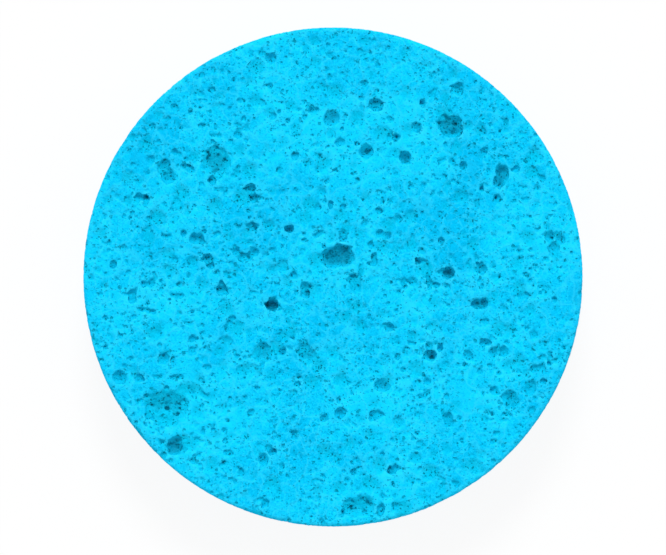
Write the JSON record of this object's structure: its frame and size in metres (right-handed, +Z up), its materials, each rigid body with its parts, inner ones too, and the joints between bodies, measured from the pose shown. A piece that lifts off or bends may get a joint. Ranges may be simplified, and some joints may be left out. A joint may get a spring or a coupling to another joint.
{
  "type": "soldering tip cleaning sponge",
  "caption": "Round disc of open-celled cellulose sponge for wiping a hot soldering tip, with flat faces and a straight punched edge.",
  "frame": {"origin": "centre of the lower face, which the sponge lies on", "axes": "+Z up through the sponge's thickness; +Y away from someone who looks down on it with +X to their right"},
  "size_m": [0.058, 0.058, 0.01],
  "materials": {
    "cellulose": "matte open-celled cellulose, bright cyan, darker inside the cells"
  },
  "bodies": {
    "root": {"sponge": "cellulose"}
  },
  "joints": []
}
